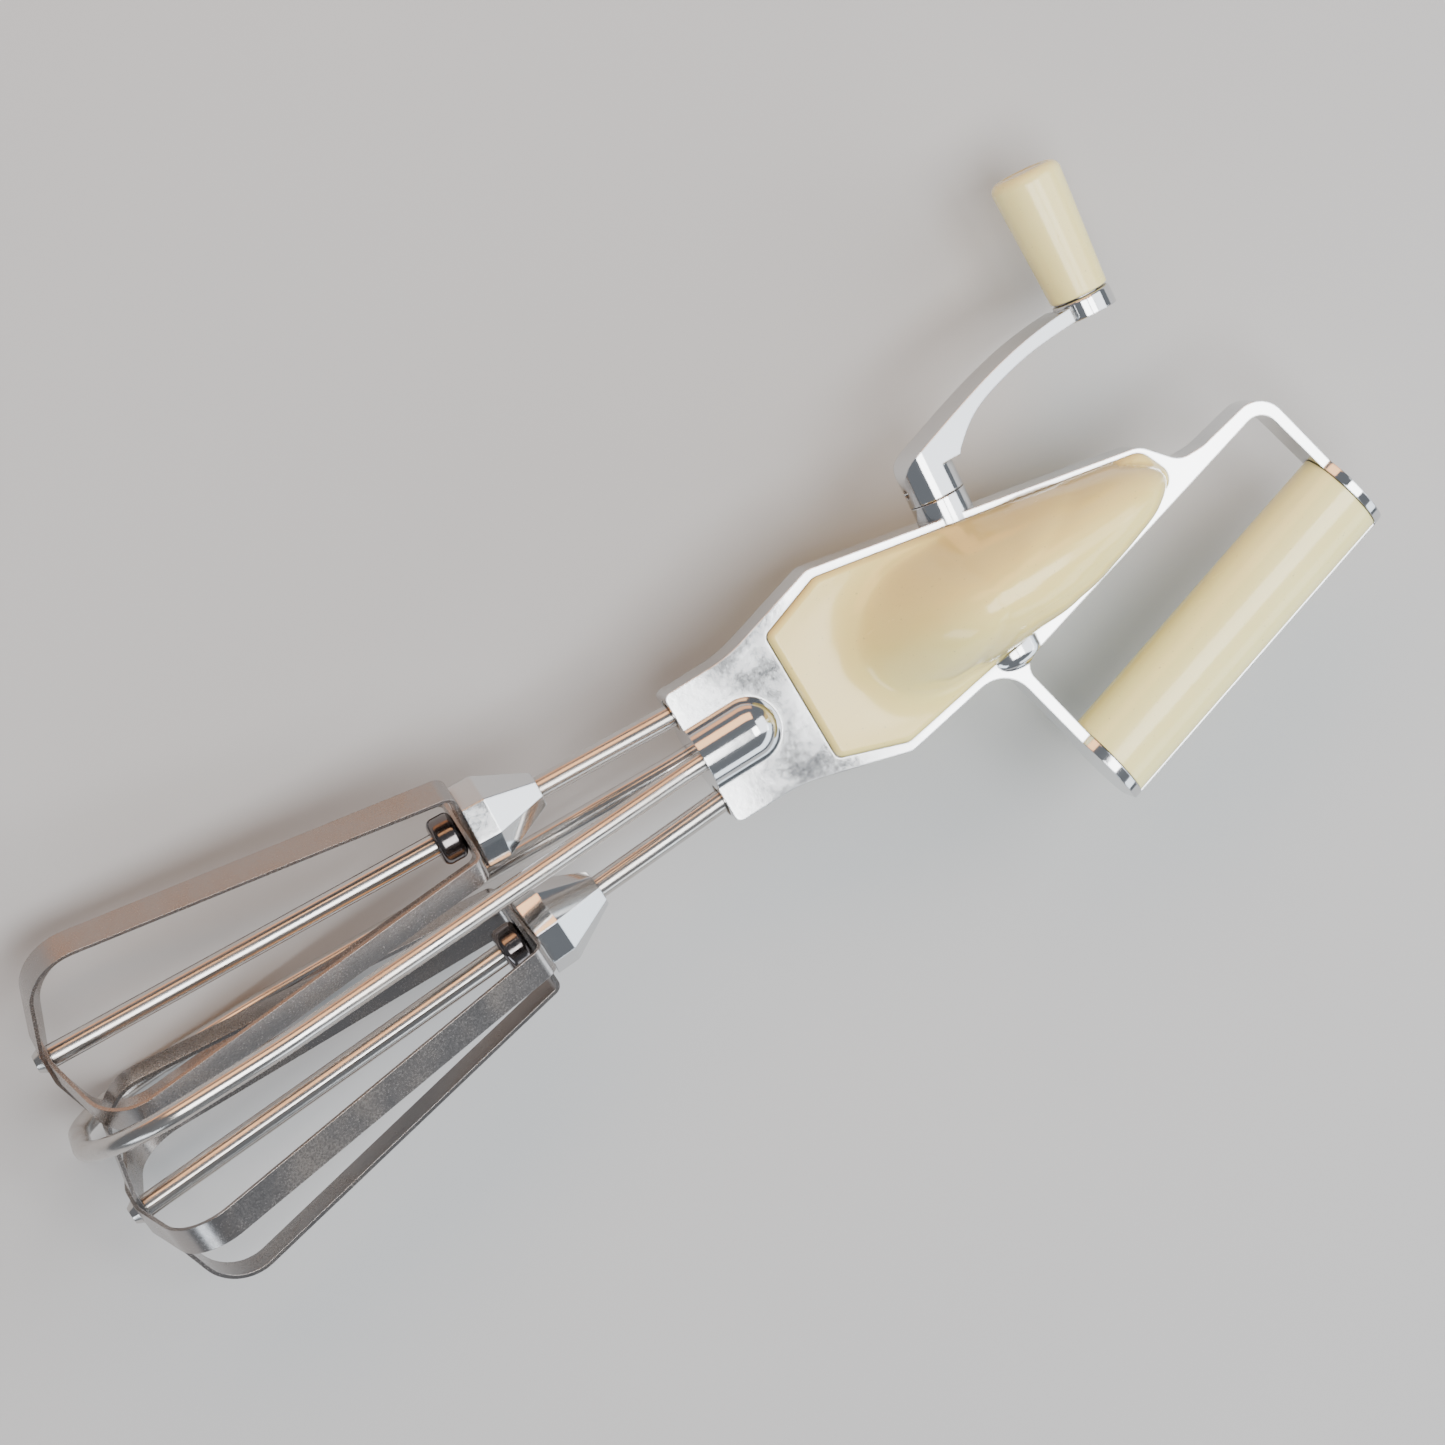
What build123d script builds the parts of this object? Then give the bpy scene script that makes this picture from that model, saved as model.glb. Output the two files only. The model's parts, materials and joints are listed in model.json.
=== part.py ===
from build123d import *
from math import atan, cos, degrees, radians, sin
import os

# Hand-cranked rotary egg beater, lying on its back.
# +X runs up the whisk spindles towards the handle, +Y towards the crank, +Z up out of the front cover.
# Everything is drawn from the middle of the neck's lower edge, and save() sets it down on the surface
# that it lies on, with the origin under the middle of the whole object.

os.makedirs("parts", exist_ok=True)

# ---- driving dimensions (mm, degrees) ----
REST_HEIGHT = 31.5        # frame's middle plane above the surface
SET_DOWN = (-0.11, -5.31, REST_HEIGHT)
FIT = 0.05                # radial running clearance
GAP = 0.15                # clearance round a part that drops into a seat

FRAME_DEPTH = 11.0
BEYOND = 60.0             # longer than any cut has to reach
NECK_HALF = 14.8
SHELF_DEPTH = 8.2         # ledges inside the gear case that carry the covers
NECK_SHELF_END = 30.5
TIP_SHELF_START = 98.5

AXLE_TILT = 4.7           # crank axle leans towards the handle
AXLE_AT = (67.1, -1.92, 0)
AXLE_R = 3.0
BOSS_R = 5.9              # crank boss and the crank's hub above it
FAR_BOSS_R = 7.4          # domed boss round the far bearing
AXLE_FAR = -14.9
AXLE_NEAR = 27.0
BUSH_R = 4.0
SPLIT = 21.1              # top of the frame's crank boss, along the axle
BUSH_FAR = -9.8           # inner ends of the two bushes
BUSH_NEAR = 13.2

CRANK_ANGLE = 12.0        # crank hangs this far below the frame's plane
CRANK_RADIUS = 47.6
CRANK_WIDTH = 11.4
HUB_ROUND = 6.0           # height of the crank's round hub above SPLIT

PIN_R = 1.0
KNOB_FOOT = SPLIT + 22.4  # knob's lower face, along the axle
KNOB_LENGTH = 27.4
KNOB_TIP = KNOB_FOOT + KNOB_LENGTH
KNOB_BASE_R = 6.2
KNOB_TIP_R = 7.7
KNOB_PIN_R = 2.5
KNOB_FOOT_R = 6.3         # round end of the crank under the knob
PIN_HEAD_R = 4.0
PIN_HEAD_DEPTH = 6.0      # pin head's lower face below the knob's tip
KNOB_CAP_R = 4.3

SPINDLE_R = 2.4
SPINDLE_OFFSET = 10.0     # spindle centre to middle line at the neck's lower edge
SPLAY = degrees(atan(0.055))
SPINDLE_TOP = 46.4
SEAT_R = 2.0              # turned-down top that carries the pinion
NECK_BUSH_R = 3.5

WHEEL_TEETH = 60
PINION_TEETH = 12
WHEEL_R = 24.2
WHEEL_HALF = 1.8          # half thickness of the wheel's rim
CROWN_HEIGHT = 1.4
CROWN_LOW = 21.7          # inner and outer ends of the crown teeth
CROWN_HIGH = 24.1
CROWN_TOOTH = 1.2
CROWN_TAPER = 12
HUB_HALF = 7.0            # half length of the wheel's own hub
HUB_R = 6.5
RIM = 5.0
PINION_TIP = 5.25
PINION_ROOT = 3.85
PINION_PHASE = 15         # a gap between teeth faces the drive gear
PINION_LOW = 41.8
PINION_FACE = 3.9

BLADE_TOP = -46.4
BLADE_END = -141.0
BLADE_WIDTH = 6.2
BLADE_THICK = 0.85
HUB_LOW = BLADE_TOP + FIT
HUB_RINGS = [(0, 17.6), (5, 17.6), (16.0, 7.2)]   # height and width of the whisk hub's octagons
COLLAR_R = 5.0
COLLAR_LENGTH = 5.4
RIVET_R = 1.5
LOOP_CORNERS = [
    ((13.0, BLADE_TOP), 3), ((27.9, -135.5), 11), ((4.5, BLADE_END), 8),
    ((-4.5, BLADE_END), 8), ((-27.9, -135.5), 11), ((-13.0, BLADE_TOP), 3),
]
WHISK_ANGLE = {"left": -51.5, "right": 17.0}
SIDE = {"left": 1, "right": -1}

WIRE_R = 2.1
WIRE_LEG = 7.3            # wire centre from the middle plane, at the neck
WIRE_HALF = REST_HEIGHT - WIRE_R
WIRE_END = -143.0
RIB_R = 7.0
RIB_LIFT = 3.5
RIB_CENTRE = 11.2

GRIP_ANGLE = 16.8
GRIP_AT = (107.05, -34.25, 0)
GRIP_WIDTH = 19.0
GRIP_DEPTH = 15.6
SPINE_DEPTH = 3.0
SPINE_WIDTH = 3.6
DISC_PROUD = 0.35         # end discs stand this far out of the grip
GRIP_REACH = 42.0         # half length to which the grip is drawn before it is trimmed
PIN_SPOTS = [-20, 20]
GRIP_PIN_R = 1.5
GRIP_PIN_HALF = 4.8

COVER_TOP = 7.0           # cover's flat face above the middle plane
COVER_WALL = 1.3
SCREW_R = 1.5
SCREW_HOLE_R = SCREW_R + 0.2
SCREW_POST_R = 3.1
SCREWS = [(27.3, 0), (104.0, 1.2)]

# ---- outlines in the frame's plane ----
# corner points with their corner radii
FRAME_CORNERS = [
    ((0, NECK_HALF), 1.5), ((15, NECK_HALF), 30), ((37.5, 21.3), 4), ((108.5, 6.9), 5),
    ((114.5, 0.1), 5), ((120, 0.1), 5), ((136.2, 3.6), 6), ((145.7, -32.9), 1.8),
    ((72.4, -55.3), 1.8), ((62.6, -16.6), 7), ((37.5, -21.2), 4), ((15, -NECK_HALF), 30),
    ((0, -NECK_HALF), 1.5),
]
OPENING_CORNERS = [((65.7, -18.4), 3.5), ((134.4, 0.5), 4), ((143.1, -30.3), 1), ((73.5, -51.2), 1)]
GRIP_SPACE_CORNERS = [((65.7, -18.4), 3.5), ((134.4, 0.5), 4), ((147.3, -45.0), 1), ((77.3, -66.9), 1)]
COVER_CORNERS = [
    ((23.6, 14.3), 1.6), ((38.0, 19.2), 2.5), ((108.3, 5.9), 3.5), ((112.0, -2.3), 3),
    ((80.0, -11.8), 20), ((37.8, -19.2), 2.5), ((23.6, -14.3), 1.6),
]
BULGE_RING = [
    (33, 0), (38, -8), (50, -11.5), (65, -12.0), (78, -10.6), (90, -7.6), (100, -4.4), (107.5, 0.6),
    (101, 4.7), (90, 7.2), (75, 9.6), (60, 11.2), (46, 10.4), (37, 6.5),
]
BULGE_CREST = (66, -0.4)
BULGE_FOOT = 6.1          # height at which the bulge leaves the cover's flat face
BULGE_LEVELS = (0, 0.25, 0.5, 0.72, 0.88, 0.97, 1.0)
BULGE_ROUND = 2.3         # roundness of the bulge's side, seen from the end
CREST_FLAT = 0.16


# ---- local frames ----
def turned(plane, angle):
    """The same plane, turned about its own normal."""
    turn = radians(angle)
    return Plane(
        origin=plane.origin, x_dir=plane.x_dir * cos(turn) + plane.y_dir * sin(turn), z_dir=plane.z_dir
    )


tilt = radians(AXLE_TILT)
AXLE = Plane(origin=AXLE_AT, x_dir=(cos(tilt), -sin(tilt), 0), z_dir=(sin(tilt), cos(tilt), 0))
CRANK = turned(AXLE, CRANK_ANGLE)
KNOB_AXIS = Plane(origin=CRANK.from_local_coords((CRANK_RADIUS, 0, 0)), x_dir=CRANK.x_dir, z_dir=CRANK.z_dir)
GEAR_PIN = Plane(origin=AXLE_AT, x_dir=AXLE.z_dir, z_dir=(0, 0, 1))
CRANK_PIN = Plane(origin=AXLE.from_local_coords((0, 0, SPLIT + 3.2)), x_dir=AXLE.z_dir, z_dir=CRANK.x_dir)
KNOB_SIDE = Plane(origin=KNOB_AXIS.origin, x_dir=CRANK.x_dir, z_dir=CRANK.x_dir.cross(CRANK.z_dir))
ARM_SIDE = Plane(origin=AXLE_AT, x_dir=CRANK.x_dir, z_dir=CRANK.x_dir.cross(CRANK.z_dir))
slant = radians(GRIP_ANGLE)
GRIP = Plane(origin=GRIP_AT, x_dir=(-sin(slant), cos(slant), 0), z_dir=(cos(slant), sin(slant), 0))


def spindle_plane(side):
    """Plane across a spindle at the neck's lower edge; z runs up the spindle, x faces the front."""
    lean = radians(SPLAY)
    return Plane(
        origin=(0, SIDE[side] * SPINDLE_OFFSET, 0), x_dir=(0, 0, 1),
        z_dir=(cos(lean), -SIDE[side] * sin(lean), 0),
    )


def blade_plane(side, angle):
    """Plane of one whisk loop: x runs out from the spindle at the given angle, y up the spindle."""
    across = turned(spindle_plane(side), angle)
    return Plane(origin=across.origin, x_dir=across.x_dir, z_dir=across.x_dir.cross(across.z_dir))


def outline(corners, inset=0.0):
    """Closed outline with rounded corners, added to the open sketch as a face."""
    points = [point for point, radius in corners]
    radii = [radius for point, radius in corners]
    with BuildLine() as path:
        FilletPolyline(*points, radius=radii, close=True)
    make_face(path.edges())
    if inset:
        offset(amount=-inset, mode=Mode.REPLACE)


def tube(plane, low, high, radius, mode=Mode.ADD):
    """Cylinder along a plane's normal, between two heights."""
    with BuildSketch(plane.offset(low)) as disc:
        Circle(radius)
    extrude(disc.sketch, amount=high - low, mode=mode)


def save(piece, name):
    """Label a finished piece, set it down in the resting frame and write it."""
    piece.part.label = name
    piece.part.move(Location(SET_DOWN))
    export_step(piece.part, f"parts/{name}.step")


# ---- frame: one die casting with neck, gear-case rim, handle arms and grip spine ----
with BuildPart() as frame:
    # oval end discs and spine of the grip, and the far bearing's domed boss, cut to the outline
    with BuildSketch(GRIP):
        Ellipse(GRIP_WIDTH / 2 + DISC_PROUD, GRIP_DEPTH / 2 + DISC_PROUD)
    extrude(amount=GRIP_REACH, both=True)
    tube(AXLE, AXLE_FAR - 2.1, AXLE_FAR + 3.9, FAR_BOSS_R)
    boss_rim = frame.edges().filter_by(GeomType.CIRCLE).sort_by(Axis.Y)[0]
    fillet(boss_rim, radius=3)
    with BuildSketch():
        outline(FRAME_CORNERS)
        with BuildSketch(mode=Mode.SUBTRACT):
            outline(OPENING_CORNERS)
    extrude(amount=GRIP_DEPTH, both=True, mode=Mode.INTERSECT)
    for face in (1, -1):
        with BuildSketch(Plane.XY.offset(face * SPINE_DEPTH / 2)):
            outline(GRIP_SPACE_CORNERS)
        extrude(amount=face * GRIP_DEPTH, mode=Mode.SUBTRACT)

    # main plate, which stops half way along the grip's end discs
    with BuildSketch():
        outline(FRAME_CORNERS)
        with BuildSketch(mode=Mode.SUBTRACT):
            outline(OPENING_CORNERS)
        with Locations(GRIP.from_local_coords((-20, 0, 0))):
            Rectangle(100, 2 * 20, rotation=GRIP_ANGLE, mode=Mode.SUBTRACT)
    extrude(amount=FRAME_DEPTH / 2, both=True)

    # crank boss, and raised ribs on the neck that hold the guard loop's ends
    tube(AXLE, BUSH_NEAR, SPLIT, BOSS_R)
    for face in (1, -1):
        rib = Plane(origin=(0, 0, face * RIB_LIFT), x_dir=(0, 1, 0), z_dir=(1, 0, 0))
        tube(rib, 0, RIB_CENTRE, RIB_R)
        with Locations((RIB_CENTRE, 0, face * RIB_LIFT)):
            Sphere(RIB_R)

    # gear case, open front and back, with a ledge at each end for the covers
    with BuildSketch():
        outline(COVER_CORNERS)
    extrude(amount=BEYOND, both=True, mode=Mode.SUBTRACT)
    with BuildSketch():
        outline(COVER_CORNERS)
        with Locations(((NECK_SHELF_END + TIP_SHELF_START) / 2, 0)):
            Rectangle(TIP_SHELF_START - NECK_SHELF_END, BEYOND, mode=Mode.SUBTRACT)
    extrude(amount=SHELF_DEPTH / 2, both=True)

    # bearings, wire sockets and screw holes
    tube(AXLE, AXLE_FAR - 0.2, 0, BUSH_R, mode=Mode.SUBTRACT)
    tube(AXLE, 0, SPLIT + 1, BUSH_R, mode=Mode.SUBTRACT)
    for side in SIDE:
        tube(spindle_plane(side), -3, NECK_SHELF_END + 9, NECK_BUSH_R, mode=Mode.SUBTRACT)
    for face in (1, -1):
        socket = Plane(origin=(0, 0, face * WIRE_LEG), x_dir=(0, 1, 0), z_dir=(1, 0, 0))
        tube(socket, -3, 14, WIRE_R, mode=Mode.SUBTRACT)
    with Locations(*SCREWS):
        Cylinder(SCREW_HOLE_R, BEYOND, mode=Mode.SUBTRACT)
save(frame, "frame")


# ---- gear covers ----
def bulge(lift, inset):
    """Rings of the teardrop dome over the drive gear, which shrink towards its crest."""
    rings = []
    crest_height = REST_HEIGHT - lift
    for share in BULGE_LEVELS:
        height = BULGE_FOOT + share * (crest_height - BULGE_FOOT)
        scale = max((1 - share**BULGE_ROUND) ** (1 / BULGE_ROUND), CREST_FLAT)
        ring = []
        for x, y in BULGE_RING:
            away = Vector(x - BULGE_CREST[0], y - BULGE_CREST[1])
            reach = (away.length - inset) * scale
            ring.append(away.normalized() * reach + Vector(*BULGE_CREST))
        with BuildSketch(Plane.XY.offset(height)) as level:
            with BuildLine() as loop:
                Spline(*ring, periodic=True)
            make_face(loop.edges())
        rings.append(level.sketch)
    return rings


def make_cover(facing, screw_heads):
    """Moulded shell; facing is +1 for the front cover and -1 for the rear one."""
    with BuildPart() as cover:
        with BuildSketch(Plane.XY.offset(SHELF_DEPTH / 2)):
            outline(COVER_CORNERS, inset=GAP)
        extrude(amount=COVER_TOP - SHELF_DEPTH / 2)
        top = cover.faces().sort_by(Axis.Z)[-1]
        chamfer(top.edges(), length=0.8)
        loft(bulge(lift=0, inset=0))
        with BuildSketch(Plane.XY.offset(SHELF_DEPTH / 2 - 1)):
            outline(COVER_CORNERS, inset=GAP + COVER_WALL)
        extrude(amount=COVER_TOP - COVER_WALL - SHELF_DEPTH / 2 + 1, mode=Mode.SUBTRACT)
        cavity = bulge(lift=COVER_WALL, inset=COVER_WALL)
        loft(cavity, mode=Mode.SUBTRACT)
        extrude(cavity[0], amount=-4, mode=Mode.SUBTRACT)
        with BuildSketch(Plane.XY.offset(SHELF_DEPTH / 2)):
            with Locations(*SCREWS):
                Circle(SCREW_POST_R)
        extrude(amount=COVER_TOP - SHELF_DEPTH / 2 - 0.4)
        for x, y in SCREWS:
            with Locations((x, y, 0)):
                if screw_heads:
                    Cylinder(SCREW_HOLE_R, BEYOND, mode=Mode.SUBTRACT)
                    with Locations((0, 0, COVER_TOP - 0.6)):
                        Cone(SCREW_R, SCREW_R + 2.0, 2.0, mode=Mode.SUBTRACT)
                else:
                    Cylinder(SCREW_R, 2 * (COVER_TOP - 1.2), mode=Mode.SUBTRACT)
        if facing < 0:
            mirror(about=Plane.XY, mode=Mode.REPLACE)
    return cover


save(make_cover(1, screw_heads=False), "front_cover")
save(make_cover(-1, screw_heads=True), "rear_cover")


with BuildPart() as cover_screws:
    for x, y in SCREWS:
        with Locations((x, y, -2)):
            Cylinder(SCREW_R, 13.6, align=(Align.CENTER, Align.CENTER, Align.CENTER))
        with Locations((x, y, -COVER_TOP + 0.75)):
            Cone(SCREW_R + 1.3, SCREW_R, 1.5)
        with Locations((x, y, -COVER_TOP)):
            Box(3.8, 0.6, 0.8, mode=Mode.SUBTRACT)
save(cover_screws, "cover_screws")

# ---- grip: two moulded scales round the frame's spine, held by a pair of hidden pins ----
def make_grip(facing):
    """Half of the oval grip, with half a groove for the spine."""
    with BuildPart() as grip:
        with BuildSketch(GRIP):
            Ellipse(GRIP_WIDTH / 2, GRIP_DEPTH / 2)
        extrude(amount=GRIP_REACH, both=True)
        with BuildSketch() as reach:
            outline(GRIP_SPACE_CORNERS, inset=GAP)
        extrude(reach.sketch, amount=GRIP_DEPTH, both=True, mode=Mode.INTERSECT)
        with BuildSketch() as front_half:
            with Locations(GRIP_AT):
                Rectangle(3 * GRIP_REACH, 3 * GRIP_REACH)
        extrude(front_half.sketch, amount=facing * GRIP_DEPTH, mode=Mode.INTERSECT)
        with BuildSketch(GRIP) as groove:
            with Locations((-GRIP_WIDTH / 2, 0)):
                Rectangle(2 * SPINE_WIDTH + 2 * GAP, SPINE_DEPTH + 2 * GAP)
        extrude(groove.sketch, amount=BEYOND, both=True, mode=Mode.SUBTRACT)
        for spot in PIN_SPOTS:
            with BuildSketch() as pin_hole:
                with Locations(GRIP.from_local_coords((2, 0, spot))):
                    Circle(GRIP_PIN_R)
            extrude(pin_hole.sketch, amount=facing * (GRIP_PIN_HALF + 0.2), mode=Mode.SUBTRACT)
    return grip


save(make_grip(1), "grip_front")
save(make_grip(-1), "grip_rear")

with BuildPart() as grip_pins:
    for spot in PIN_SPOTS:
        with Locations(GRIP.from_local_coords((2, 0, spot))):
            Cylinder(GRIP_PIN_R, 2 * GRIP_PIN_HALF)
save(grip_pins, "grip_pins")

# ---- crank axle, drive gear and their bearings ----
with BuildPart() as crank_axle:
    tube(AXLE, AXLE_FAR, AXLE_NEAR, AXLE_R)
    chamfer(crank_axle.edges().filter_by(GeomType.CIRCLE), length=0.4)
    tube(GEAR_PIN, -10, 10, PIN_R, mode=Mode.SUBTRACT)
    tube(CRANK_PIN, -10, 10, PIN_R, mode=Mode.SUBTRACT)
save(crank_axle, "crank_axle")

with BuildPart() as drive_gear:
    tube(AXLE, -WHEEL_HALF, WHEEL_HALF, WHEEL_R)
    for face in (1, -1):
        with BuildSketch(AXLE.offset(face * 1.0)) as recess:
            Circle(WHEEL_R - RIM)
            Circle(HUB_R + 2.5, mode=Mode.SUBTRACT)
        extrude(recess.sketch, amount=face * WHEEL_HALF, mode=Mode.SUBTRACT)
        with BuildSketch(AXLE.offset(face * WHEEL_HALF)) as crown:
            with PolarLocations((CROWN_LOW + CROWN_HIGH) / 2, WHEEL_TEETH, start_angle=180):
                Rectangle(CROWN_HIGH - CROWN_LOW, CROWN_TOOTH)
        extrude(crown.sketch, amount=face * CROWN_HEIGHT, taper=CROWN_TAPER)
    with BuildSketch(AXLE) as holes:
        with PolarLocations(14.2, 5, start_angle=18):
            Circle(3.6)
    extrude(holes.sketch, amount=10, both=True, mode=Mode.SUBTRACT)
    tube(AXLE, -HUB_HALF, HUB_HALF, HUB_R)
    tube(AXLE, -BEYOND, BEYOND, AXLE_R, mode=Mode.SUBTRACT)
    tube(GEAR_PIN, -10, 10, PIN_R, mode=Mode.SUBTRACT)
save(drive_gear, "drive_gear")

with BuildPart() as gear_pin:
    tube(GEAR_PIN, -6.2, 6.2, PIN_R)
save(gear_pin, "gear_pin")

with BuildPart() as crank_pin:
    tube(CRANK_PIN, -5.2, 5.2, PIN_R)
save(crank_pin, "crank_pin")

with BuildPart() as axle_bush_near:
    tube(AXLE, BUSH_NEAR, SPLIT - 0.2, BUSH_R)
    tube(AXLE, 0, BEYOND, AXLE_R + FIT, mode=Mode.SUBTRACT)
save(axle_bush_near, "axle_bush_near")

with BuildPart() as axle_bush_far:
    tube(AXLE, AXLE_FAR - 0.2, BUSH_FAR, BUSH_R)
    tube(AXLE, -BEYOND, 0, AXLE_R + FIT, mode=Mode.SUBTRACT)
save(axle_bush_far, "axle_bush_far")

# distance tubes keep the drive gear between the two bushes
for name, low, high in (
    ("axle_spacer_near", HUB_HALF, BUSH_NEAR - GAP),
    ("axle_spacer_far", BUSH_FAR + GAP, -HUB_HALF),
):
    with BuildPart() as axle_spacer:
        tube(AXLE, low, high, BUSH_R)
        tube(AXLE, -BEYOND, BEYOND, AXLE_R, mode=Mode.SUBTRACT)
    save(axle_spacer, name)

# ---- crank: cast hub and curved strap arm, with a turning knob ----
with BuildPart() as crank_arm:
    with BuildSketch(ARM_SIDE) as side_view:
        with BuildLine() as profile:
            outer = Spline(
                (-BOSS_R, SPLIT + 4.5), (-4.2, SPLIT + 8.6), (0.5, SPLIT + 11.0), (9.5, SPLIT + 14.2),
                (20, SPLIT + 17.6), (30, SPLIT + 20.0), (CRANK_RADIUS - 6, SPLIT + 21.4),
            )
            Line(outer @ 1, (CRANK_RADIUS - 6, SPLIT + 18.4))
            inner = Spline(
                (CRANK_RADIUS - 6, SPLIT + 18.4), (30, SPLIT + 17.2), (20, SPLIT + 14.8), (12, SPLIT + 11.4),
                (7.4, SPLIT + 7.6), (BOSS_R, SPLIT + 4.5),
                tangents=[(-1, -0.08), (0, -1)],
            )
            Polyline(inner @ 1, (BOSS_R, SPLIT + 0.2), (-BOSS_R, SPLIT + 0.2), outer @ 0)
        make_face(profile.edges())
    extrude(side_view.sketch, amount=CRANK_WIDTH / 2, both=True)
    with BuildSketch(CRANK) as plan:
        Circle(BOSS_R)
        with Locations((CRANK_RADIUS / 2, 0)):
            Rectangle(CRANK_RADIUS, CRANK_WIDTH)
    extrude(plan.sketch, amount=BEYOND, mode=Mode.INTERSECT)
    # the hub stays round below the point where the arm leaves it
    with BuildSketch(CRANK.offset(SPLIT)) as round_hub:
        Rectangle(4 * BOSS_R, 4 * BOSS_R)
        Circle(BOSS_R, mode=Mode.SUBTRACT)
    extrude(round_hub.sketch, amount=HUB_ROUND, mode=Mode.SUBTRACT)
    tube(KNOB_AXIS, SPLIT + 18.0, KNOB_FOOT - 0.35, KNOB_FOOT_R)
    along_knob = Axis(KNOB_AXIS.origin, KNOB_AXIS.z_dir)
    boss_rim = crank_arm.edges().filter_by(GeomType.CIRCLE).sort_by(along_knob)[-1]
    fillet(boss_rim, radius=0.6)
    tube(AXLE, 0, AXLE_NEAR + 0.05, AXLE_R, mode=Mode.SUBTRACT)
    tube(CRANK_PIN, -10, 10, PIN_R, mode=Mode.SUBTRACT)
    tube(KNOB_AXIS, 0, BEYOND, KNOB_PIN_R - 0.5, mode=Mode.SUBTRACT)
save(crank_arm, "crank_arm")

with BuildPart() as knob_washer:
    tube(KNOB_AXIS, KNOB_FOOT - 0.35, KNOB_FOOT - 0.05, 5.2)
    tube(KNOB_AXIS, 0, BEYOND, KNOB_PIN_R - 0.5, mode=Mode.SUBTRACT)
save(knob_washer, "knob_washer")

with BuildPart() as knob_pin:
    tube(KNOB_AXIS, SPLIT + 18.1, KNOB_FOOT - 0.05, KNOB_PIN_R - 0.5)
    tube(KNOB_AXIS, KNOB_FOOT - 0.05, KNOB_TIP - PIN_HEAD_DEPTH, KNOB_PIN_R)
    tube(KNOB_AXIS, KNOB_TIP - PIN_HEAD_DEPTH, KNOB_TIP - PIN_HEAD_DEPTH + 1.4, PIN_HEAD_R)
save(knob_pin, "knob_pin")

with BuildPart() as crank_knob:
    with BuildSketch(KNOB_SIDE) as knob_profile:
        with BuildLine() as knob_line:
            FilletPolyline(
                (0, KNOB_FOOT), (KNOB_BASE_R, KNOB_FOOT), (KNOB_TIP_R, KNOB_TIP), (0, KNOB_TIP),
                radius=[0.5, 2.2],
            )
            Line((0, KNOB_TIP), (0, KNOB_FOOT))
        make_face(knob_line.edges())
    revolve(knob_profile.sketch, axis=along_knob)
    tube(KNOB_AXIS, 0, 2 * BEYOND, KNOB_PIN_R + FIT, mode=Mode.SUBTRACT)
    tube(KNOB_AXIS, KNOB_TIP - PIN_HEAD_DEPTH - FIT, 2 * BEYOND, KNOB_CAP_R, mode=Mode.SUBTRACT)
save(crank_knob, "crank_knob")

with BuildPart() as knob_cap:
    tube(KNOB_AXIS, KNOB_TIP - 3.6, KNOB_TIP - 0.1, KNOB_CAP_R)
save(knob_cap, "knob_cap")

# ---- guard loop: one bent wire, its ends in the neck's ribs ----
with BuildPart() as guard_loop:
    with BuildLine(Plane.XZ) as wire:
        FilletPolyline(
            (13.8, WIRE_LEG), (-3, WIRE_LEG), (-101, WIRE_HALF), (WIRE_END, WIRE_HALF),
            (WIRE_END, -WIRE_HALF), (-101, -WIRE_HALF), (-3, -WIRE_LEG), (13.8, -WIRE_LEG),
            radius=[20, 60, 22, 22, 60, 20],
        )
    with BuildSketch(Plane(origin=wire.line @ 0, z_dir=wire.line % 0)) as section:
        Circle(WIRE_R)
    sweep(section.sketch, path=wire.line)
save(guard_loop, "guard_loop")


# ---- the two whisks: spindle, pinion, hub and two crossed loops of strip each ----
def make_spindle(side):
    """Shaft with a turned-down top for the pinion, and a shouldered, peened lower end."""
    with BuildPart() as spindle:
        up = spindle_plane(side)
        tube(up, BLADE_END + 2.2 * BLADE_THICK, PINION_LOW - 0.5, SPINDLE_R)
        tube(up, PINION_LOW - 0.5, SPINDLE_TOP, SEAT_R)
        tube(up, BLADE_END - 2 * FIT, BLADE_END + 2.2 * BLADE_THICK, RIVET_R)
        with BuildSketch(up.offset(BLADE_END - FIT)) as head:
            Circle(RIVET_R + 1.2)
        extrude(head.sketch, amount=-1.5, taper=30)
    return spindle


def make_pinion(side):
    """Twelve-tooth pinion with a long sleeve that stands on the washer above the neck."""
    with BuildPart() as pinion:
        up = spindle_plane(side)
        tube(up, PINION_LOW, PINION_LOW + PINION_FACE, PINION_ROOT)
        with BuildSketch(up.offset(PINION_LOW)) as teeth:
            with PolarLocations(0, PINION_TEETH, start_angle=PINION_PHASE):
                Polygon(
                    (PINION_ROOT - 0.5, -0.75), (PINION_TIP, -0.32),
                    (PINION_TIP, 0.32), (PINION_ROOT - 0.5, 0.75),
                    align=None,
                )
        extrude(teeth.sketch, amount=PINION_FACE)
        tube(up, NECK_SHELF_END + 1.1, PINION_LOW, 3.6)
        tube(up, 0, PINION_LOW - 0.5, SPINDLE_R, mode=Mode.SUBTRACT)
        tube(up, 0, BEYOND, SEAT_R, mode=Mode.SUBTRACT)
    return pinion


def make_hub(side):
    """Eight-sided cone that tapers up to the spindle."""
    with BuildPart() as hub:
        seat = turned(spindle_plane(side), WHISK_ANGLE[side])
        rings = []
        for height, across in HUB_RINGS:
            with BuildSketch(seat.offset(HUB_LOW + height)) as ring:
                RegularPolygon(across / 2, 8, major_radius=False, rotation=22.5)
            rings.append(ring.sketch)
        loft(rings, ruled=True)
        tube(seat, -60, 0, SPINDLE_R, mode=Mode.SUBTRACT)
    return hub


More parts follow.
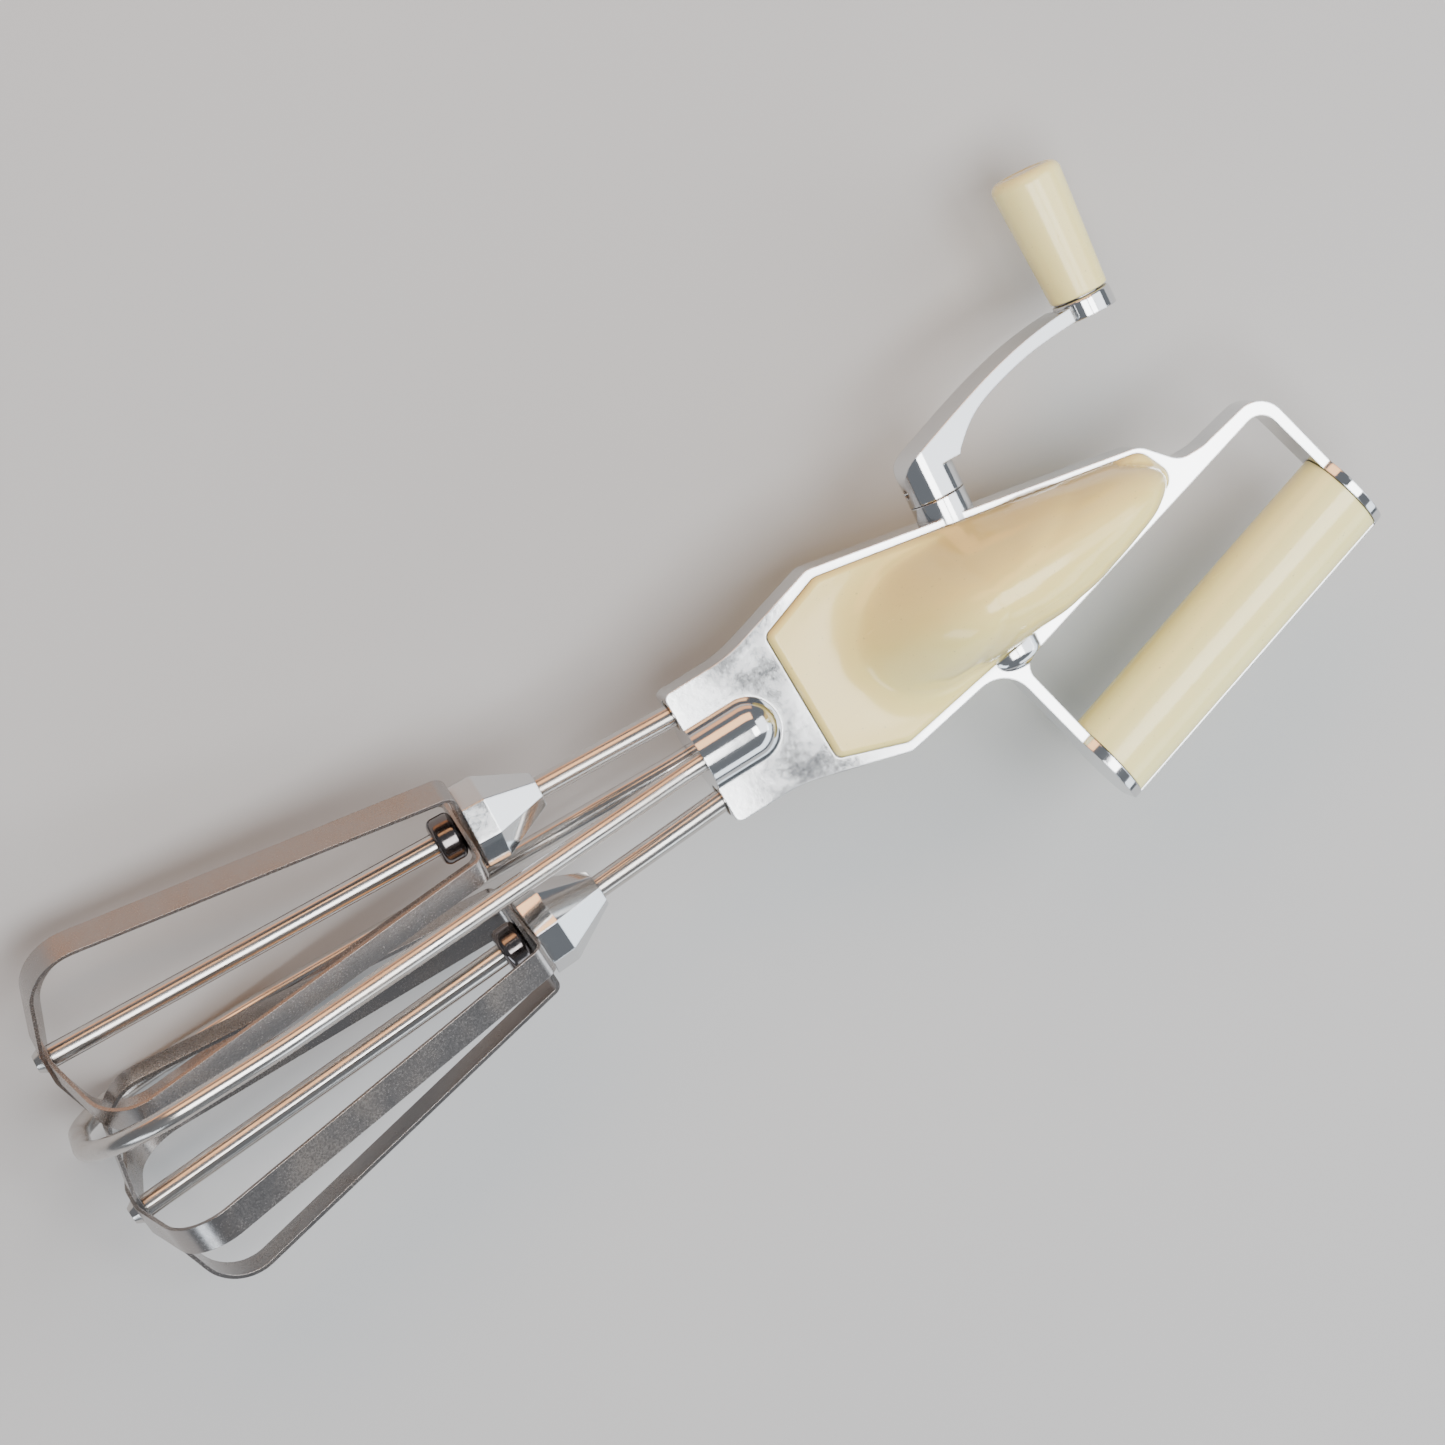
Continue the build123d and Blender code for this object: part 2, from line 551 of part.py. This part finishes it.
def make_collar(side):
    """Collar that clamps the loops up against the hub."""
    with BuildPart() as collar:
        up = spindle_plane(side)
        collar_top = BLADE_TOP - 2 * BLADE_THICK - FIT
        tube(up, collar_top - COLLAR_LENGTH, collar_top, COLLAR_R)
        fillet(collar.edges().filter_by(GeomType.CIRCLE), radius=1.5)
        tube(up, -2 * BEYOND, 0, SPINDLE_R, mode=Mode.SUBTRACT)
    return collar


def make_loop(side, angle, inset):
    """One loop of strip, bent to a bell shape and pierced top and bottom for the spindle."""
    with BuildPart() as loop:
        with BuildSketch(blade_plane(side, angle)) as bell:
            outline(LOOP_CORNERS, inset=inset)
            offset(amount=-BLADE_THICK, mode=Mode.SUBTRACT)
        extrude(bell.sketch, amount=BLADE_WIDTH / 2, both=True)
        tube(spindle_plane(side), BLADE_TOP - 6, BLADE_TOP + 2, SPINDLE_R, mode=Mode.SUBTRACT)
        tube(spindle_plane(side), BLADE_END - 2, BLADE_END + 6, RIVET_R, mode=Mode.SUBTRACT)
    return loop


for side in SIDE:
    save(make_spindle(side), f"spindle_{side}")
    save(make_pinion(side), f"pinion_{side}")
    save(make_hub(side), f"whisk_hub_{side}")
    save(make_collar(side), f"whisk_collar_{side}")
    save(make_loop(side, WHISK_ANGLE[side], inset=0), f"outer_loop_{side}")
    save(make_loop(side, WHISK_ANGLE[side] + 90, inset=BLADE_THICK + 0.02), f"inner_loop_{side}")
    with BuildPart() as neck_bush:
        tube(spindle_plane(side), 0.5, NECK_SHELF_END - 0.3, NECK_BUSH_R)
        tube(spindle_plane(side), -5, 40, SPINDLE_R + FIT, mode=Mode.SUBTRACT)
    save(neck_bush, f"neck_bush_{side}")
    with BuildPart() as thrust_washer:
        tube(spindle_plane(side), NECK_SHELF_END + 0.35, NECK_SHELF_END + 1.0, 4.4)
        tube(spindle_plane(side), -5, 40, SPINDLE_R + FIT, mode=Mode.SUBTRACT)
    save(thrust_washer, f"thrust_washer_{side}")
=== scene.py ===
import json
from math import acos, atan2, cos, pi, sin, sqrt, tan
import bpy
from mathutils import Matrix, Vector


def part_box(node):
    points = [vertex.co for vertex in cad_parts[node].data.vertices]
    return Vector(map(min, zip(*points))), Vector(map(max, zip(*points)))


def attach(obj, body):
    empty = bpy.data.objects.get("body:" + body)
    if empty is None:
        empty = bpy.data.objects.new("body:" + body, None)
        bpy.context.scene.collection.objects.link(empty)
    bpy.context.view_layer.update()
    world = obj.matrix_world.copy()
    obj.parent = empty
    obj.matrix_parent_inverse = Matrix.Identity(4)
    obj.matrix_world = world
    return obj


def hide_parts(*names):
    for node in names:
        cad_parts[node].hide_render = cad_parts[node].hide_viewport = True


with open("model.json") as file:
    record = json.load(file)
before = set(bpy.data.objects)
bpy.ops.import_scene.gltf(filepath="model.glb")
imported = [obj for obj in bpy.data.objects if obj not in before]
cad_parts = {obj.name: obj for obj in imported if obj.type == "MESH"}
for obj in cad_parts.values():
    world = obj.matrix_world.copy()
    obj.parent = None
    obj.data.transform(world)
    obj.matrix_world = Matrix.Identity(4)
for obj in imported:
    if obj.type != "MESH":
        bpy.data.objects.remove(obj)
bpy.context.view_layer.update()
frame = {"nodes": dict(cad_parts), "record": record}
NODES = frame["nodes"]
MM = 0.001

# radius that the shading gives to sharp edges
CHROME_EDGE = 0.45 * MM
CREAM_EDGE = 0.35 * MM
STEEL_EDGE = 0.15 * MM


# ---------------------------------------------------------------- materials
class Shader:
    """A principled material that is put together step by step."""

    def __init__(self, name):
        self.mat = bpy.data.materials.new(name)
        self.mat.use_nodes = True
        self.tree = self.mat.node_tree
        self.bsdf = self.tree.nodes["Principled BSDF"]
        self.coords = self.tree.nodes.new("ShaderNodeTexCoord").outputs["Object"]

    def link(self, source, target):
        self.tree.links.new(source, target)

    def value(self, name, number):
        self.bsdf.inputs[name].default_value = number

    def stretch(self, scale, turn=0.0):
        """Object coordinates, stretched by a scale along each axis and turned about Z."""
        mapping = self.tree.nodes.new("ShaderNodeMapping")
        mapping.inputs["Scale"].default_value = scale
        mapping.inputs["Rotation"].default_value = (0, 0, turn)
        self.link(self.coords, mapping.inputs["Vector"])
        return mapping.outputs["Vector"]

    def noise(self, scale, detail=4.0, rough=0.5, vector=None, distortion=0.0):
        node = self.tree.nodes.new("ShaderNodeTexNoise")
        node.inputs["Scale"].default_value = scale
        node.inputs["Detail"].default_value = detail
        node.inputs["Roughness"].default_value = rough
        node.inputs["Distortion"].default_value = distortion
        self.link(vector or self.coords, node.inputs["Vector"])
        return node.outputs["Fac"]

    def ramp(self, source, low, high, start, end):
        """Maps a factor between low and high to the range from start to end."""
        node = self.tree.nodes.new("ShaderNodeMapRange")
        node.inputs["From Min"].default_value = low
        node.inputs["From Max"].default_value = high
        node.inputs["To Min"].default_value = start
        node.inputs["To Max"].default_value = end
        self.link(source, node.inputs["Value"])
        return node.outputs["Result"]

    def mix(self, factor, first, second):
        node = self.tree.nodes.new("ShaderNodeMix")
        node.data_type = "RGBA"
        for value, socket in ((first, node.inputs["A"]), (second, node.inputs["B"])):
            if isinstance(value, tuple):
                socket.default_value = (*value, 1)
            else:
                self.link(value, socket)
        self.link(factor, node.inputs["Factor"])
        return node.outputs["Result"]

    def math(self, kind, first, second):
        node = self.tree.nodes.new("ShaderNodeMath")
        node.operation = kind
        for value, socket in ((first, node.inputs[0]), (second, node.inputs[1])):
            if isinstance(value, (int, float)):
                socket.default_value = value
            else:
                self.link(value, socket)
        return node.outputs[0]

    def round_edges(self, radius, samples=6):
        node = self.tree.nodes.new("ShaderNodeBevel")
        node.samples = samples
        node.inputs["Radius"].default_value = radius
        return node.outputs["Normal"]

    def bump(self, height, strength, distance, normal=None):
        node = self.tree.nodes.new("ShaderNodeBump")
        node.inputs["Strength"].default_value = strength
        node.inputs["Distance"].default_value = distance
        self.link(height, node.inputs["Height"])
        if normal is not None:
            self.link(normal, node.inputs["Normal"])
        return node.outputs["Normal"]

    def crevice(self, distance):
        """Near 1 in corners and gaps, 0 on open faces: an occlusion mask for painted shade."""
        node = self.tree.nodes.new("ShaderNodeAmbientOcclusion")
        node.samples = 6
        node.inputs["Distance"].default_value = distance
        return self.ramp(node.outputs["AO"], 0.35, 0.85, 1.0, 0.0)


def chrome(name, tint=(0.68, 0.69, 0.70)):
    """Polished chrome plate with faint casting waves, smears, pitting and painted shade in the corners."""
    s = Shader(name)
    s.value("Metallic", 1.0)
    smear = s.noise(55, 5, 0.55, distortion=0.6)
    fine = s.noise(900, 3, 0.6)
    pits = s.ramp(s.noise(2600, 2, 0.5), 0.69, 0.78, 0, 1)
    # painted shade: the plate's colour is darkened in corners and gaps where occlusion is high
    painted_corner_shade = s.math("MULTIPLY", s.crevice(2.2 * MM), 0.55)
    pits_and_painted_shade = s.math("MAXIMUM", painted_corner_shade, s.math("MULTIPLY", pits, s.ramp(smear, 0.45, 0.7, 0, 0.6)))
    # the dark colour stands for both real pitting and painted shade in the corners
    s.link(s.mix(pits_and_painted_shade, tint, (0.22, 0.20, 0.17)), s.bsdf.inputs["Base Color"])
    rough = s.math("ADD", s.ramp(smear, 0.35, 0.75, 0.035, 0.13), s.ramp(fine, 0.3, 0.7, 0.0, 0.03))
    s.link(s.math("ADD", rough, s.math("MULTIPLY", pits_and_painted_shade, 0.3)), s.bsdf.inputs["Roughness"])
    wave = s.bump(s.noise(38, 2, 0.4), 0.22, 0.4 * MM, s.round_edges(CHROME_EDGE))
    s.link(s.bump(fine, 0.05, 0.05 * MM, wave), s.bsdf.inputs["Normal"])
    return s.mat


def cream(name, base=(0.96, 0.80, 0.31)):
    """Glossy moulded plastic, slightly yellowed, with hairline scratches, dark specks and painted shade in
    the joints.
    """
    s = Shader(name)
    age = s.noise(28, 4, 0.55)
    speck = s.ramp(s.noise(1500, 2, 0.5), 0.70, 0.76, 0, 1)
    yellow = s.mix(s.ramp(age, 0.35, 0.7, 0, 1), base, (base[0] * 0.96, base[1] * 0.93, base[2] * 0.84))
    # painted shade: the plastic's colour is darkened in its joints where occlusion is high
    painted_corner_shade = s.math("MULTIPLY", s.crevice(1.6 * MM), 0.5)
    # the dark colour stands for both real specks and painted shade in the joints
    specks_and_painted_shade = s.mix(s.math("MAXIMUM", painted_corner_shade, s.math("MULTIPLY", speck, 0.35)), yellow, (0.33, 0.26, 0.15))
    s.link(specks_and_painted_shade, s.bsdf.inputs["Base Color"])
    scratch = s.noise(60, 6, 0.7, s.stretch((1, 14, 6), 0.5))
    s.link(
        s.math("ADD", s.ramp(age, 0.3, 0.7, 0.14, 0.24), s.ramp(scratch, 0.55, 0.75, 0.0, 0.16)),
        s.bsdf.inputs["Roughness"],
    )
    s.value("Coat Weight", 0.35)
    s.value("Coat Roughness", 0.08)
    s.value("Subsurface Weight", 0.12)
    s.value("Subsurface Scale", 1.2 * MM)
    s.bsdf.inputs["Subsurface Radius"].default_value = (1.0, 0.7, 0.4)
    peel = s.bump(s.noise(420, 2, 0.5), 0.04, 0.08 * MM, s.round_edges(CREAM_EDGE))
    s.link(s.bump(scratch, 0.05, 0.06 * MM, peel), s.bsdf.inputs["Normal"])
    return s.mat


def steel(name, tint, rough, grain=0.12, grain_scale=(30, 1400, 1400), shade=0.75, streaks=0.4):
    """Drawn or rolled steel with fine grain, some tarnish and painted shade in the corners."""
    s = Shader(name)
    s.value("Metallic", 1.0)
    lines = s.noise(1.0, 6, 0.65, s.stretch(grain_scale))
    tarnish = s.noise(45, 5, 0.6, distortion=0.8)
    dark = tuple(shade * c for c in tint)
    blotch = s.mix(s.ramp(tarnish, 0.42, 0.68, 0, 1), tint, (dark[0] * 1.02, dark[1] * 0.95, dark[2] * 0.88))
    streak = s.mix(s.ramp(lines, 0.3, 0.72, 0, streaks), blotch, tuple(0.62 * c for c in tint))
    # painted shade: the steel's colour is darkened in corners where occlusion is high
    streaked_and_painted_shade = s.mix(s.math("MULTIPLY", s.crevice(1.2 * MM), 0.35), streak, (0.12, 0.10, 0.08))
    s.link(streaked_and_painted_shade, s.bsdf.inputs["Base Color"])
    polish = s.ramp(lines, 0.3, 0.7, rough - 0.06, rough + 0.08)
    worn = s.ramp(tarnish, 0.4, 0.7, 0, 0.08)
    s.link(s.math("ADD", polish, worn), s.bsdf.inputs["Roughness"])
    s.link(s.bump(lines, grain, 0.08 * MM, s.round_edges(STEEL_EDGE)), s.bsdf.inputs["Normal"])
    return s.mat


CHROME = chrome("chrome_plate")
CREAM = cream("cream_moulding")
CREAM_GRIP = cream("cream_grip", base=(0.97, 0.88, 0.40))
BLADE = steel(
    "blade_strip", (0.38, 0.36, 0.35), 0.2,
    grain=0.008, grain_scale=(2400, 2400, 2400), shade=0.93, streaks=0.12,
)
WIRE = steel(
    "bright_wire", (0.60, 0.58, 0.56), 0.17,
    grain=0.03, grain_scale=(20, 900, 900), shade=0.88, streaks=0.2,
)
TURNED = steel("turned_steel", (0.45, 0.44, 0.44), 0.2, grain=0.1, grain_scale=(1500, 60, 60))
DARK = steel("dark_collar", (0.20, 0.18, 0.18), 0.12, grain=0.05, grain_scale=(900, 40, 40))
BRASS = steel("turned_brass", (0.62, 0.44, 0.20), 0.25, grain_scale=(1500, 60, 60))
GEAR = steel("cut_gear", (0.42, 0.43, 0.45), 0.32, grain_scale=(60, 600, 60))

PAINT = {
    "chrome_casting": CHROME, "cream_plastic": CREAM, "blade_steel": BLADE, "wire_steel": WIRE,
    "pin_steel": TURNED, "bush_brass": BRASS, "gear_steel": GEAR,
}
for part in frame["record"]["subparts"]:
    node = NODES[part["node"]]
    paint = PAINT[part["material_slot"]]
    if part["node"] in ("grip_front", "grip_rear", "crank_knob"):
        paint = CREAM_GRIP
    if part["node"].startswith("whisk_collar"):
        paint = DARK
    node.data.materials.clear()
    node.data.materials.append(paint)


# ---------------------------------------------------------------- gear covers
LOW, HIGH = (Vector(corner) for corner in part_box("front_cover"))
REAR_LOW = Vector(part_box("rear_cover")[0])
MIDDLE = (HIGH.z + REAR_LOW.z) / 2
CREST = HIGH.z - MIDDLE
# outline from the corner LOW of the cover's box, in mm: x, y, corner radius
OUTLINE = [
    (0.0, 33.27, 1.5), (14.2, 38.2, 2.4), (84.5, 24.9, 3.4), (88.1, 16.67, 2.9), (56.2, 7.3, 20),
    (14.2, -0.1, 2.4), (0.0, 4.83, 1.5),
]
# heights above the frame's middle plane: the cover's flat and the foot of its side
FLAT = 7.0 * MM
FOOT = 4.1 * MM
# the cover's rim is cut back by this much, and its wall is this thick
CHAMFER = 0.9 * MM
WALL = 1.1 * MM
# foot of the bulge round its crest, in mm from the crest: wide over the drive gear, with a long tip
RING = [
    (-30, 0.4), (-26, -8.5), (-18, -12.6), (-9, -13.2), (4, -12.4), (14, -11.0), (24, -8.8), (32, -6.4),
    (39, -3.6), (43.0, 0.6), (40, 4.6), (25, 9.4), (9, 12.2), (-6, 13.6), (-18, 12.8), (-26, 8.0),
]
CENTRE = Vector((LOW.x + 42.25 * MM, LOW.y + 18.67 * MM))
# sharpness of the bulge's shoulder, and how fast its foot falls away below the flat
SHOULDER = 2.3
FALL = 1.2
# cover screws, in mm from the same corner, and the sunk seats round their heads in the rear cover
SCREW_SEATS = [(3.55, 19.07), (80.25, 20.27)]
SEAT_RADIUS = 2.95 * MM
SEAT_LEDGE = 0.7 * MM
SEAT_DEPTH = 6 * MM
SEAT_SLOPE = 1.8
# points along the cover's rim, and rings of points from there to the crest
RIM_POINTS = 260
RINGS = 60


def rounded(corners, steps=10):
    """Closed outline with an arc at each corner."""
    points = []
    count = len(corners)
    for i, (x, y, radius) in enumerate(corners):
        here = Vector((x, y))
        back = (Vector(corners[i - 1][:2]) - here).normalized()
        ahead = (Vector(corners[(i + 1) % count][:2]) - here).normalized()
        half = acos(max(-1, min(1, back.dot(ahead)))) / 2
        reach = radius / tan(half)
        middle = here + (back + ahead).normalized() * (radius / sin(half))
        first = here + back * reach - middle
        last = here + ahead * reach - middle
        for k in range(steps + 1):
            share = k / steps
            arm = first.lerp(last, share).normalized() * radius
            points.append(middle + arm)
    return points


def even(points, count):
    """The same closed outline with evenly spaced points."""
    closed = points + [points[0]]
    lengths = [0]
    for a, b in zip(closed, closed[1:]):
        lengths.append(lengths[-1] + (b - a).length)
    result = []
    k = 0
    for i in range(count):
        target = lengths[-1] * i / count
        while lengths[k + 1] < target:
            k += 1
        span = lengths[k + 1] - lengths[k]
        result.append(closed[k].lerp(closed[k + 1], (target - lengths[k]) / span if span else 0))
    return result


def ring_reach(angle):
    """Distance from the crest to the bulge's rim in one direction, in metres."""
    marks = sorted((atan2(y, x), sqrt(x * x + y * y)) for x, y in RING)
    marks = [(marks[-1][0] - 2 * pi, marks[-1][1])] + marks + [(marks[0][0] + 2 * pi, marks[0][1])]
    marks = [(marks[-3][0] - 2 * pi, marks[-3][1])] + marks + [(marks[2][0] + 2 * pi, marks[2][1])]
    for k in range(1, len(marks) - 2):
        if marks[k][0] <= angle <= marks[k + 1][0]:
            a, b = marks[k], marks[k + 1]
            t = (angle - a[0]) / (b[0] - a[0])
            slope_a = (b[1] - marks[k - 1][1]) / (b[0] - marks[k - 1][0]) * (b[0] - a[0])
            slope_b = (marks[k + 2][1] - a[1]) / (marks[k + 2][0] - a[0]) * (b[0] - a[0])
            return MM * (
                (2 * t**3 - 3 * t**2 + 1) * a[1] + (t**3 - 2 * t**2 + t) * slope_a
                + (3 * t**2 - 2 * t**3) * b[1] + (t**3 - t**2) * slope_b
            )
    return MM * marks[1][1]


def height(x, y, facing):
    """Cover's outer surface above the frame's middle plane: a flat that sweeps up into the bulge."""
    away = Vector((x, y)) - CENTRE
    angle = atan2(away.y, away.x)
    share = away.length / ring_reach(angle)
    rise = CREST - FLAT
    # blunt at the tip and steep beside the grip, softer on the crank's side and softest towards the neck
    power = 0.85 - 0.45 * cos(angle) + 0.22 * sin(angle)
    if share < 1:
        dome = rise * (1 - share**SHOULDER) ** power
    else:
        dome = -rise * FALL * (share - 1)
    # the bulge runs out into the flat, most gently towards the neck
    blend = (3.0 - 1.7 * cos(angle)) * MM
    swell = min(0.5 * (dome + sqrt(dome * dome + blend * blend)) - 0.02 * MM, rise)
    if facing < 0:
        # the rear cover is hollowed out round each screw's head
        for across, along in SCREW_SEATS:
            gap = sqrt((x - LOW.x - across * MM) ** 2 + (y - LOW.y - along * MM) ** 2)
            swell = min(swell, max(0, gap - SEAT_RADIUS - SEAT_LEDGE) * SEAT_SLOPE)
    return FLAT + swell


def mesh_object(name, verts, faces, material):
    """Smooth-shaded mesh in the row's frame."""
    mesh = bpy.data.meshes.new(name)
    mesh.from_pydata([tuple(v) for v in verts], [], faces)
    mesh.polygons.foreach_set("use_smooth", [True] * len(mesh.polygons))
    mesh.materials.append(material)
    mesh.update()
    obj = bpy.data.objects.new(name, mesh)
    bpy.context.scene.collection.objects.link(obj)
    return obj


def cut_screw_seats(skin):
    """Opens the skin over the heads of the cover screws, which sit flush with its flat."""
    for i, (x, y) in enumerate(SCREW_SEATS):
        place = (LOW.x + x * MM, LOW.y + y * MM, MIDDLE - FLAT)
        bpy.ops.mesh.primitive_cylinder_add(
            vertices=64, radius=SEAT_RADIUS, depth=SEAT_DEPTH, location=place
        )
        punch = bpy.context.object
        cut = skin.modifiers.new(f"seat_{i}", "BOOLEAN")
        cut.operation = "DIFFERENCE"
        cut.solver = "EXACT"
        cut.object = punch
        bpy.context.view_layer.objects.active = skin
        if i == 0:
            bpy.ops.object.modifier_apply(modifier="wall")
        bpy.ops.object.modifier_apply(modifier=cut.name)
        bpy.data.objects.remove(punch)


def cover(name, facing):
    """One cover, facing +1 to the front or -1 to the rear: an outer skin, thickened inwards."""
    rim = even([Vector((LOW.x + p.x * MM, LOW.y + p.y * MM)) for p in rounded(OUTLINE)], RIM_POINTS)
    count = len(rim)
    inner = []
    for i, p in enumerate(rim):
        along = (rim[(i + 1) % count] - rim[i - 1]).normalized()
        inward = Vector((along.y, -along.x))
        if inward.dot(CENTRE - p) < 0:
            inward = -inward
        inner.append(p + inward * CHAMFER)
    verts = [(p.x, p.y, FOOT) for p in rim] + [(p.x, p.y, height(p.x, p.y, facing) - CHAMFER) for p in rim]
    verts += [(p.x, p.y, height(p.x, p.y, facing)) for p in inner]
    for k in range(1, RINGS):
        share = (1 - k / RINGS) ** 0.9
        for p in inner:
            q = CENTRE + (p - CENTRE) * share
            verts.append((q.x, q.y, height(q.x, q.y, facing)))
    verts.append((CENTRE.x, CENTRE.y, height(CENTRE.x, CENTRE.y, facing)))
    faces = []
    rows = RINGS + 2
    for row in range(rows - 1):
        for i in range(count):
            j = (i + 1) % count
            faces.append((row * count + i, row * count + j, (row + 1) * count + j, (row + 1) * count + i))
    top = len(verts) - 1
    for i in range(count):
        faces.append(((rows - 1) * count + i, (rows - 1) * count + (i + 1) % count, top))
    placed = [(x, y, MIDDLE + facing * z) for x, y, z in verts]
    if facing > 0:
        faces = [tuple(reversed(f)) for f in faces]
    obj = mesh_object(name, placed, faces, CREAM)
    shell = obj.modifiers.new("wall", "SOLIDIFY")
    shell.thickness = WALL
    shell.offset = -1
    if facing < 0:
        cut_screw_seats(obj)
    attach(obj, "body")
    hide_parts("front_cover" if facing > 0 else "rear_cover")


cover("cover_skin_front", 1)
cover("cover_skin_rear", -1)

# ---------------------------------------------------------------- floor, light and camera
FLOOR_SIZE = 6
bpy.ops.mesh.primitive_plane_add(size=FLOOR_SIZE, location=(0, 0, 0))
floor = bpy.context.object
floor.name = "pale_floor"
surface = Shader("pale_paper")
paper = surface.mix(surface.noise(9, 3), (0.44, 0.45, 0.46), (0.47, 0.48, 0.48))
surface.link(paper, surface.bsdf.inputs["Base Color"])
surface.value("Roughness", 0.75)
floor.data.materials.append(surface.mat)


def softbox(name, place, aim, size, power, colour=(1, 1, 1)):
    """Rectangular lamp at a place, turned to face another."""
    light = bpy.data.lights.new(name, "AREA")
    light.shape = "RECTANGLE"
    light.size, light.size_y = size
    light.energy = power
    light.color = colour
    lamp = bpy.data.objects.new(name, light)
    bpy.context.scene.collection.objects.link(lamp)
    look = (Vector(aim) - Vector(place)).normalized()
    lamp.matrix_world = Matrix.Translation(place) @ look.to_track_quat("-Z", "Y").to_matrix().to_4x4()


BODY = (0, 0, 0.03)
WARM = (1.0, 0.52, 0.22)
AMBER = (1.0, 0.42, 0.14)
PALE_BLUE = (0.93, 0.96, 1.0)
softbox("overhead_left", (-0.14, -0.30, 1.5), (-0.14, -0.30, 0), (0.62, 0.8), 15)
softbox("overhead_right", (0.52, -0.30, 1.5), (0.52, -0.30, 0), (0.56, 0.8), 14)
softbox("handle_end", (1.15, -0.15, 1.05), BODY, (1.2, 1.0), 13, PALE_BLUE)
softbox("side", (0.1, 1.0, 0.95), BODY, (1.4, 0.6), 9, WARM)
softbox("low_side", (0.1, 1.3, 0.16), BODY, (2.0, 0.3), 3, AMBER)
softbox("front_fill", (0.8, -1.0, 0.5), BODY, (2.0, 0.5), 9, (0.85, 0.93, 1.0))
softbox("low_fill", (-0.9, -0.7, 0.5), BODY, (0.8, 0.3), 3, (0.80, 0.90, 1.0))

world = bpy.data.worlds.new("studio")
bpy.context.scene.world = world
world.use_nodes = True
sky = world.node_tree.nodes["Background"]
sky.inputs["Color"].default_value = (0.62, 0.66, 0.72, 1)
sky.inputs["Strength"].default_value = 0.36

# the camera stands almost straight above, a little to the whisks' side, and is turned about its own axis
CAMERA_AT = (-0.10085, 0.14959, 0.9430)
CAMERA_LOOK = Vector((0.1171, -0.1630, -0.9797))
CAMERA_RIGHT = Vector((0.842, -0.506, 0.185))
eye = bpy.data.cameras.new("photo_view")
eye.lens = 116.1
eye.sensor_width = 36
eye.clip_start = 0.05
camera = bpy.data.objects.new("photo_view", eye)
bpy.context.scene.collection.objects.link(camera)
forward = CAMERA_LOOK.normalized()
right = (CAMERA_RIGHT - forward * CAMERA_RIGHT.dot(forward)).normalized()
up = right.cross(forward)
turn = Matrix((right, up, -forward)).transposed().to_4x4()
camera.matrix_world = Matrix.Translation(CAMERA_AT) @ turn
bpy.context.scene.camera = camera
